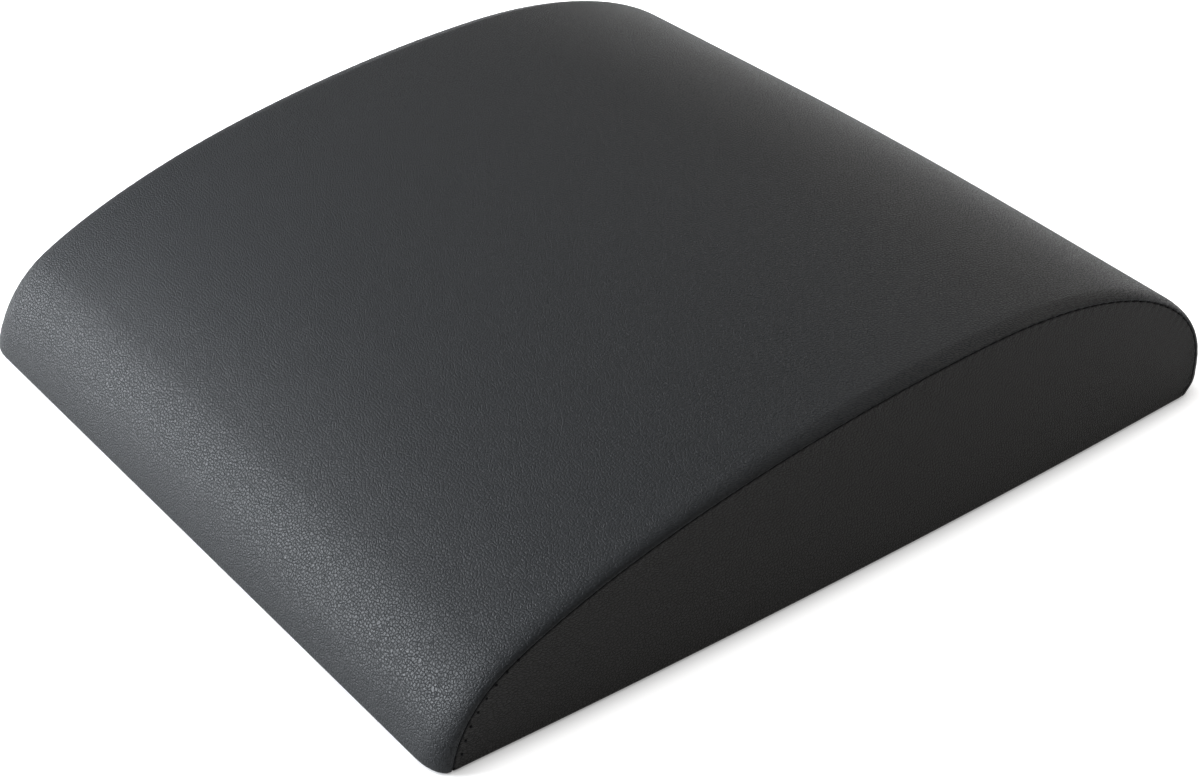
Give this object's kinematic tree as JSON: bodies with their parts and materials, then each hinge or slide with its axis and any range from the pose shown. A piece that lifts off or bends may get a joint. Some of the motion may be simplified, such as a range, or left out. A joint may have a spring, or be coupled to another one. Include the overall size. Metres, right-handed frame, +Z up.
{
  "type": "ab mat",
  "caption": "Arched foam wedge for sit-ups in a sewn leatherette cover: low nose, thick rounded heel, flat base.",
  "frame": {"origin": "on the floor, under the middle of the pad's bounding box", "axes": "+X from the low nose to the thick heel, +Y across the pad from its right side to its left side, +Z up"},
  "size_m": [0.3799, 0.34, 0.0836],
  "materials": {
    "top_leatherette": "pebble grain, satin",
    "side_leatherette": "fine grain, matt",
    "base_leatherette": "non-slip, matt",
    "sewing_thread": "twisted",
    "foam": "open-cell foam",
    "padding": "soft foam sheet"
  },
  "bodies": {
    "root": {"foam_core": "foam", "top_padding": "padding", "right_side_padding": "padding", "left_side_padding": "padding", "top_panel": "top_leatherette", "right_side_panel": "side_leatherette", "left_side_panel": "side_leatherette", "base_panel": "base_leatherette", "right_side_thread": "sewing_thread", "left_side_thread": "sewing_thread", "base_thread": "sewing_thread"}
  },
  "joints": []
}
